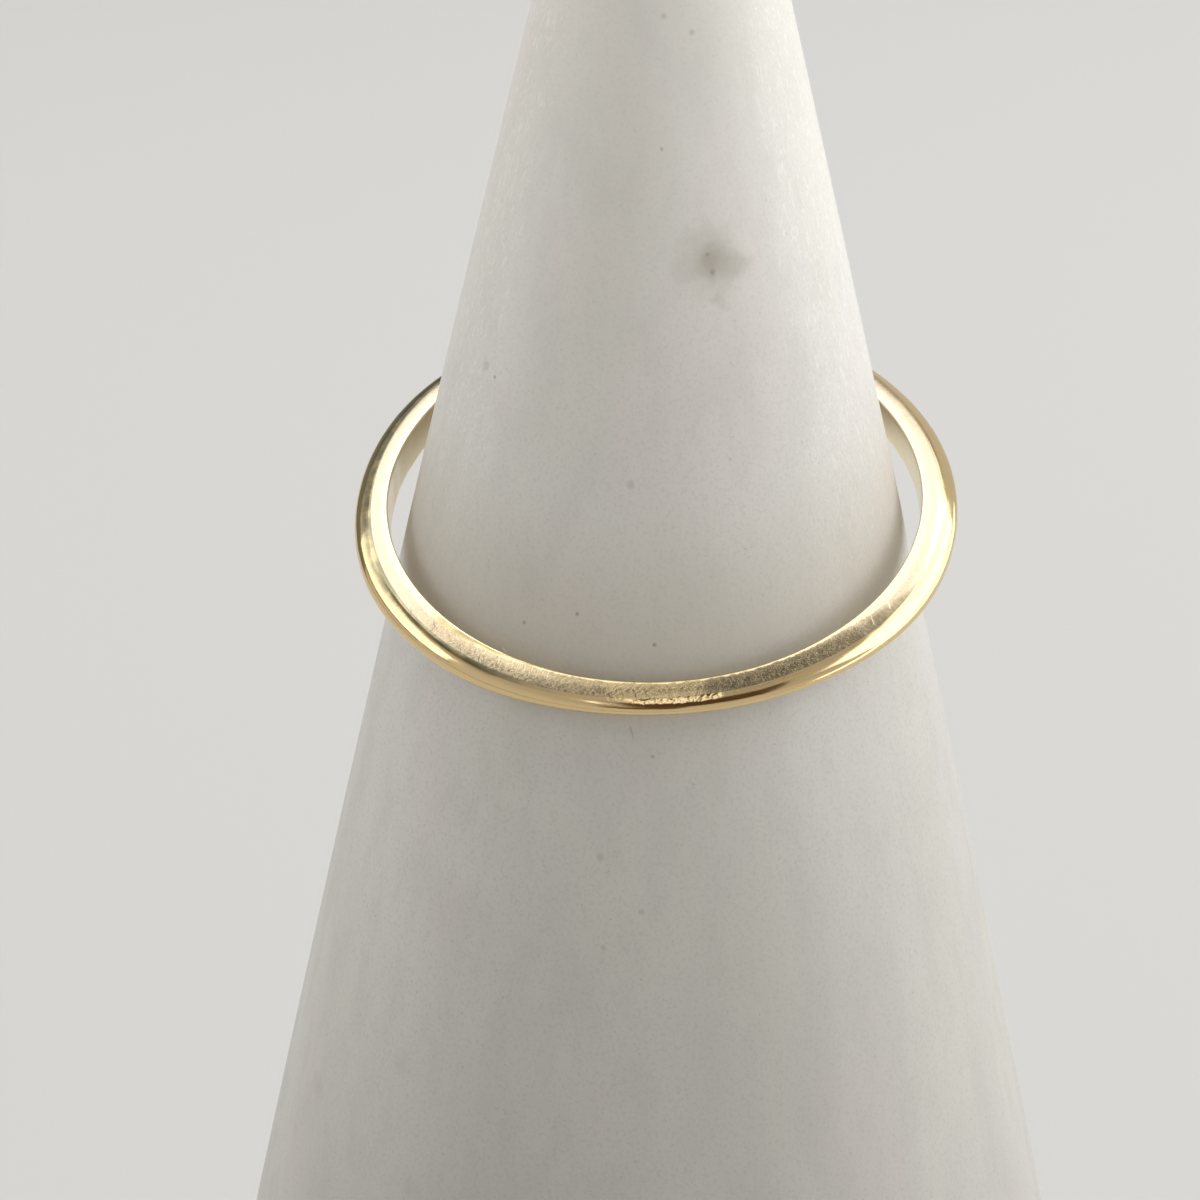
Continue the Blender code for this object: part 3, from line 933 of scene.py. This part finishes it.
def marble_material(rim_centre):
    material = bpy.data.materials.new("honed_marble")
    nodes = Nodes(material)
    place = nodes.add("ShaderNodeTexCoord").outputs["Object"]
    across, _, rise = nodes.separate(place)
    tall = nodes.vector("MULTIPLY", place, STONE_STRETCH)
    mottle = nodes.noise(tall, STONE_MOTTLE_SCALE, 2.0, 0.6)
    grains = nodes.noise(place, STONE_GRAIN_SCALE, 1.0, 0.6)

    colour = stone_colour(nodes, place, tall, mottle, grains, rise)
    # Painted light on the stone, with its hairline scratches
    colour = nodes.scaled(colour, stone_light_and_hairlines(nodes, place, across, rise))
    # Painted warm light from the ring
    colour = nodes.blend(ring_glow_share(nodes, place, rim_centre), colour, PAINTED_RING_GLOW)
    drift = nodes.drift(place, STONE_DRIFT_SCALE)
    colour = spot_stone(nodes, colour, nodes.shifted(place, drift, STAIN_DRIFT), STAINS, STAIN_CORE, STAIN)
    colour = spot_stone(nodes, colour, nodes.shifted(place, drift, PIT_DRIFT), PITS, PIT_CORE, PIT)
    drifted = nodes.shifted(place, drift, SCRATCH_DRIFT)
    colour = scratch_stone(nodes, colour, drifted, PALE_SCRATCHES, PALE_SCRATCH)
    colour = scratch_stone(nodes, colour, drifted, DARK_SCRATCHES, DARK_SCRATCH)

    roughness = nodes.fade(mottle, *STONE_ROUGHNESS)
    normal = nodes.bump(grains, STONE_BUMP, STONE_RELIEF)
    shader = nodes.add(
        "ShaderNodeBsdfPrincipled",
        {"Base Color": colour, "Roughness": roughness, "Normal": normal},
    )
    nodes.add("ShaderNodeOutputMaterial", {"Surface": shader.outputs[0]})
    return material


def sheet_mesh(name, width, height):
    """A flat rectangle about its own middle."""
    x, y = width / 2, height / 2
    mesh = bpy.data.meshes.new(name)
    mesh.from_pydata([(-x, -y, 0), (x, -y, 0), (x, y, 0), (-x, y, 0)], [], [(0, 1, 2, 3)])
    return mesh


def make_floor():
    material = bpy.data.materials.new("pale_floor")
    nodes = Nodes(material)
    inputs = {"Base Color": (*FLOOR_COLOUR, 1), "Roughness": FLOOR_ROUGHNESS}
    shader = nodes.add("ShaderNodeBsdfPrincipled", inputs)
    nodes.add("ShaderNodeOutputMaterial", {"Surface": shader.outputs[0]})
    mesh = sheet_mesh("floor", FLOOR_WIDTH, FLOOR_WIDTH)
    mesh.materials.append(material)
    floor = bpy.data.objects.new("floor", mesh)
    bpy.context.scene.collection.objects.link(floor)


def studio_place(azimuth, elevation, azimuth_span, elevation_span):
    """The direction of a softbox or flag away from the ring, and its width and height."""
    swing = math.radians(azimuth)
    rise = math.radians(elevation)
    away = Vector((-math.sin(swing) * math.cos(rise), -math.cos(swing) * math.cos(rise), math.sin(rise)))
    width = 2 * SOFTBOX_DISTANCE * math.cos(rise) * math.tan(math.radians(azimuth_span / 2))
    height = 2 * SOFTBOX_DISTANCE * math.tan(math.radians(elevation_span / 2))
    return away, width, height


def hang(thing, away):
    """Hangs a softbox or flag so that it faces the ring, out of the camera's sight."""
    thing.location = SOFTBOX_TARGET + away * SOFTBOX_DISTANCE
    thing.rotation_euler = away.to_track_quat("Z", "Y").to_euler()
    thing.visible_camera = False
    bpy.context.scene.collection.objects.link(thing)


def make_softbox(name, place, radiance):
    away, width, height = studio_place(*place)
    light = bpy.data.lights.new(name, "AREA")
    light.shape = "RECTANGLE"
    light.size = width
    light.size_y = height
    light.energy = math.pi * width * height * radiance
    hang(bpy.data.objects.new(name, light), away)


def make_flag(name, place, colour):
    """A dark card that keeps light off part of the gold."""
    away, width, height = studio_place(*place)
    material = bpy.data.materials.new(name)
    nodes = Nodes(material)
    card = nodes.add("ShaderNodeEmission", {"Color": (*colour, 1), "Strength": 1.0})
    nodes.add("ShaderNodeOutputMaterial", {"Surface": card.outputs[0]})
    mesh = sheet_mesh(name, width, height)
    mesh.materials.append(material)
    flag = bpy.data.objects.new(name, mesh)
    hang(flag, away)
    flag.visible_shadow = False


def make_world():
    world = bpy.data.worlds.new("studio")
    nodes = Nodes(world)
    up = nodes.separate(nodes.add("ShaderNodeTexCoord").outputs["Generated"])[2]
    ramp = nodes.add("ShaderNodeValToRGB", {"Fac": up})
    ramp.color_ramp.interpolation = "EASE"
    stops = ramp.color_ramp.elements
    while len(stops) < len(SKY_STOPS):
        stops.new(1.0)
    for stop, (place, colour) in zip(stops, SKY_STOPS):
        stop.position = place
        stop.color = (*colour, 1)
    back = nodes.add("ShaderNodeBackground", {"Color": ramp.outputs[0], "Strength": 1.0})
    nodes.add("ShaderNodeOutputWorld", {"Surface": back.outputs[0]})
    bpy.context.scene.world = world


def make_camera(target):
    data = bpy.data.cameras.new("camera")
    data.sensor_width = SENSOR_WIDTH
    data.lens = FOCAL_PIXELS / FRAME_PIXELS * SENSOR_WIDTH
    data.clip_start = NEAR_CLIP
    data.clip_end = FAR_CLIP
    across, down = RIM_CENTRE_PIXEL
    middle = FRAME_PIXELS / 2
    aim = Vector((across - middle, middle - down, -FOCAL_PIXELS)).normalized()
    turn = aim.rotation_difference(Vector((0, 0, -1))).to_matrix()
    base = Euler((math.pi / 2 - CAMERA_ELEVATION, 0, CAMERA_AZIMUTH)).to_matrix()
    facing = base @ Matrix.Rotation(CAMERA_ROLL, 3, "Z") @ turn
    place = target + base @ Vector((0, 0, CAMERA_DISTANCE))
    camera = bpy.data.objects.new("camera", data)
    camera.matrix_world = Matrix.Translation(place) @ facing.to_4x4()
    bpy.context.scene.collection.objects.link(camera)
    bpy.context.scene.camera = camera


def main():
    ring = make_ring(gold_material())
    rim_centre = seat_on_node(ring, "ring_band")
    make_camera(rim_centre)
    cone = make_cone(marble_material(rim_centre))
    for piece, node, slot in ((ring, "ring_band", "gold"), (cone, "marble_cone", "marble")):
        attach(piece, "root")
        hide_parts(node)
    make_floor()
    make_world()
    for name, (*place, radiance) in SOFTBOXES.items():
        make_softbox(name, place, radiance)
    for name, (*place, colour) in FLAGS.items():
        make_flag(name, place, colour)
    bpy.context.scene.view_settings.view_transform = "Standard"


main()
